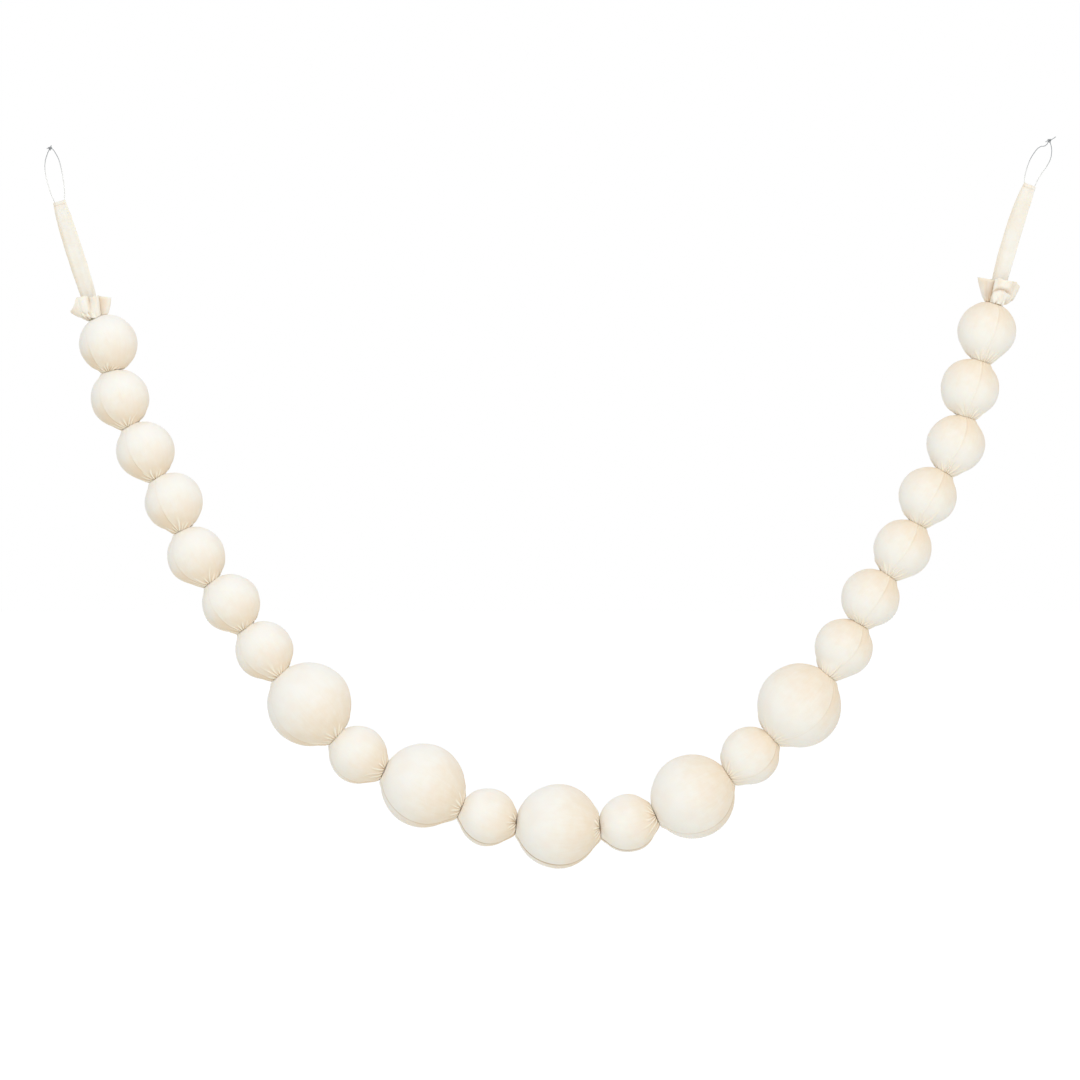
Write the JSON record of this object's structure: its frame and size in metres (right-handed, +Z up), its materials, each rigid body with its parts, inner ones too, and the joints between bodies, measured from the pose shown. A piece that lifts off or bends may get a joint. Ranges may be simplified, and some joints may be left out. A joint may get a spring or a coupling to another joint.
{
  "type": "velvet ball garland",
  "caption": "Hanging garland of padded velvet balls in two sizes, drawn in between them, with a frill, a flat tab and a clear cord loop at each end.",
  "frame": {"origin": "midway between the two points that the garland hangs from, at the tops of its cord loops", "axes": "+X to the right along the garland, +Y away from the front, +Z up"},
  "size_m": [1.0823, 0.09, 0.7823],
  "materials": {
    "velvet": "soft cream velvet with a broad satin sheen",
    "clear_cord": "clear drawn nylon cord"
  },
  "bodies": {
    "root": {"ball_01": "velvet", "ball_02": "velvet", "ball_03": "velvet", "ball_04": "velvet", "ball_05": "velvet", "ball_06": "velvet", "ball_07": "velvet", "ball_08": "velvet", "ball_09": "velvet", "ball_10": "velvet", "ball_11": "velvet", "ball_12": "velvet", "ball_13": "velvet", "ball_14": "velvet", "ball_15": "velvet", "ball_16": "velvet", "ball_17": "velvet", "ball_18": "velvet", "ball_19": "velvet", "ball_20": "velvet", "ball_21": "velvet", "ball_22": "velvet", "ball_23": "velvet", "frill_left": "velvet", "frill_right": "velvet", "tab_left": "velvet", "tab_right": "velvet", "loop_left": "clear_cord", "loop_right": "clear_cord"}
  },
  "joints": []
}
